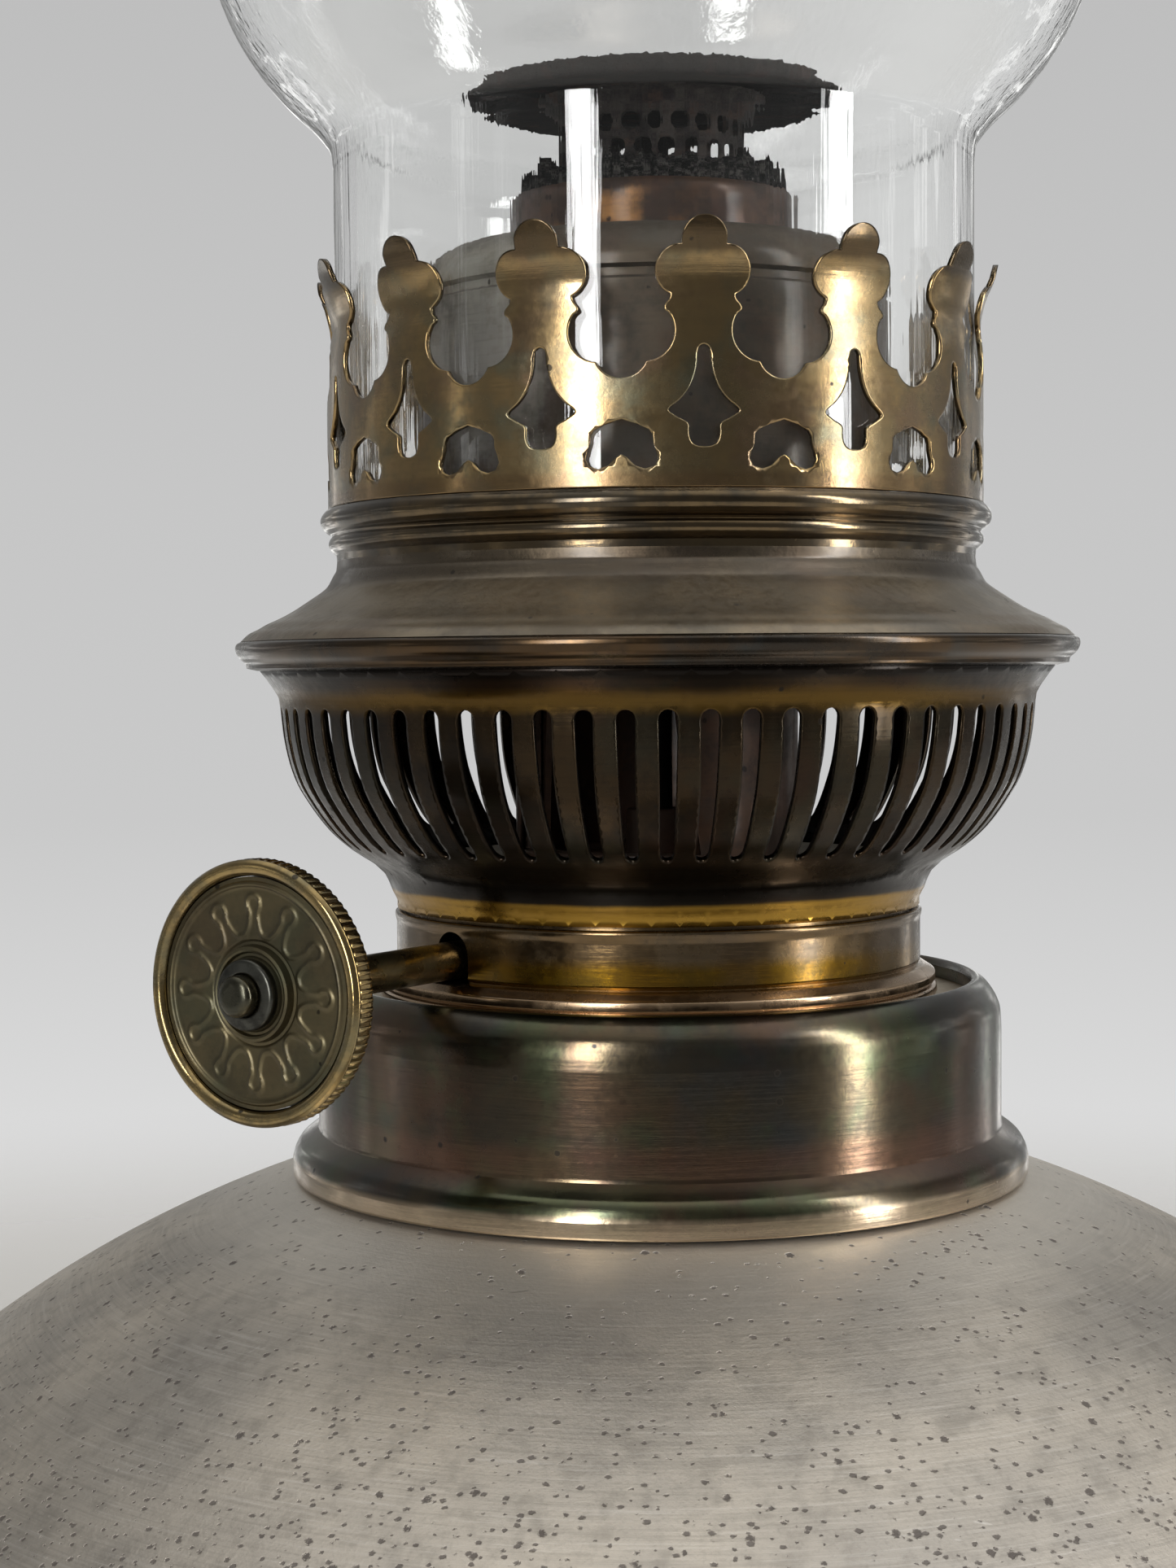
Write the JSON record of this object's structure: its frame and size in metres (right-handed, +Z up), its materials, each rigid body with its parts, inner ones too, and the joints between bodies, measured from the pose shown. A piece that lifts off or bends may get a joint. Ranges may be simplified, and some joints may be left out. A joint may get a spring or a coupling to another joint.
{
  "type": "kerosene table lamp",
  "caption": "Pewter kerosene table lamp with a round-wick burner, flame disc, slotted air basket, finger crown, wick knob and clear glass chimney.",
  "frame": {"origin": "middle of the foot's resting face, on the burner's axis", "axes": "+Z up along the burner's axis; the picture's camera looks along +Y from the -Y side, so the knob points towards -X and -Y"},
  "size_m": [0.16, 0.16, 0.4329],
  "materials": {
    "pewter": "satin, pitted",
    "dark_brass": "glossy, darkened",
    "base_brass": "glossy, tarnished",
    "basket_brass": "satin, tarnished",
    "cone_brass": "satin",
    "aged_brass": "satin, olive patina",
    "heat_stained_brass": "dull, heat stained",
    "copper_brown_brass": "satin, heat coloured",
    "sooty_brass": "matte, sooty",
    "knob_brass": "polished by handling",
    "knob_dark_brass": "satin, grey-brown",
    "wick_cotton": "woven cotton, charred at its edge",
    "clear_glass": "clear, polished"
  },
  "bodies": {
    "fount": {"foot": "pewter", "fount_lower_bowl": "pewter", "fount_upper_bowl": "pewter", "fount_collar": "dark_brass", "collar_thread_ring": "dark_brass"},
    "burner": {"burner_base_ring": "base_brass", "burner_thread_skirt": "base_brass", "burner_floor_plate": "aged_brass", "air_basket": "basket_brass", "basket_rim": "dark_brass", "air_deflector_drum": "heat_stained_brass", "outer_wick_tube": "copper_brown_brass", "inner_draft_tube": "copper_brown_brass", "air_window_frame": "copper_brown_brass", "stem_socket": "copper_brown_brass", "spindle_bracket": "aged_brass", "spindle_gland": "aged_brass"},
    "winder": {"winder_spindle": "dark_brass", "wick_wheel_inner": "aged_brass", "wick_wheel_outer": "aged_brass", "knob_disc": "knob_dark_brass", "knob_rim": "knob_brass", "knob_nut": "knob_dark_brass"},
    "wick": {"wick": "wick_cotton", "wick_tail": "wick_cotton"},
    "gallery": {"gallery_cone": "cone_brass", "gallery_bead_ring": "dark_brass", "chimney_seat_ring": "dark_brass", "gallery_crown": "aged_brass"},
    "chimney": {"chimney_foot": "clear_glass", "chimney_bulge": "clear_glass", "glass_chimney": "clear_glass"},
    "spreader": {"flame_disc": "sooty_brass", "spreader_thimble": "sooty_brass", "spreader_stem": "sooty_brass"}
  },
  "joints": [
    {"name": "burner_lift", "type": "slide", "parent": "fount", "child": "burner", "axis": [0, 0, 1], "range_m": [0, 0.11]},
    {"name": "winder_turn", "type": "hinge", "parent": "burner", "child": "winder", "pos_m": [-0.00516, 0.00336, 0.14703], "axis": [-0.5461, -0.8377, 0], "range_deg": [-77, 231]},
    {"name": "wick_slide", "type": "slide", "parent": "burner", "child": "wick", "axis": [0, 0, 1], "range_m": [-0.012, 0.004]},
    {"name": "gallery_lift", "type": "slide", "parent": "burner", "child": "gallery", "axis": [0, 0, 1], "range_m": [0, 0.045]},
    {"name": "chimney_lift", "type": "slide", "parent": "gallery", "child": "chimney", "axis": [0, 0, 1], "range_m": [0, 0.06]},
    {"name": "spreader_lift", "type": "slide", "parent": "burner", "child": "spreader", "axis": [0, 0, 1], "range_m": [0, 0.06]}
  ],
  "couplings": [
    {"joint": "wick_slide", "follows": "winder_turn", "m_per_rad": -0.00296}
  ]
}
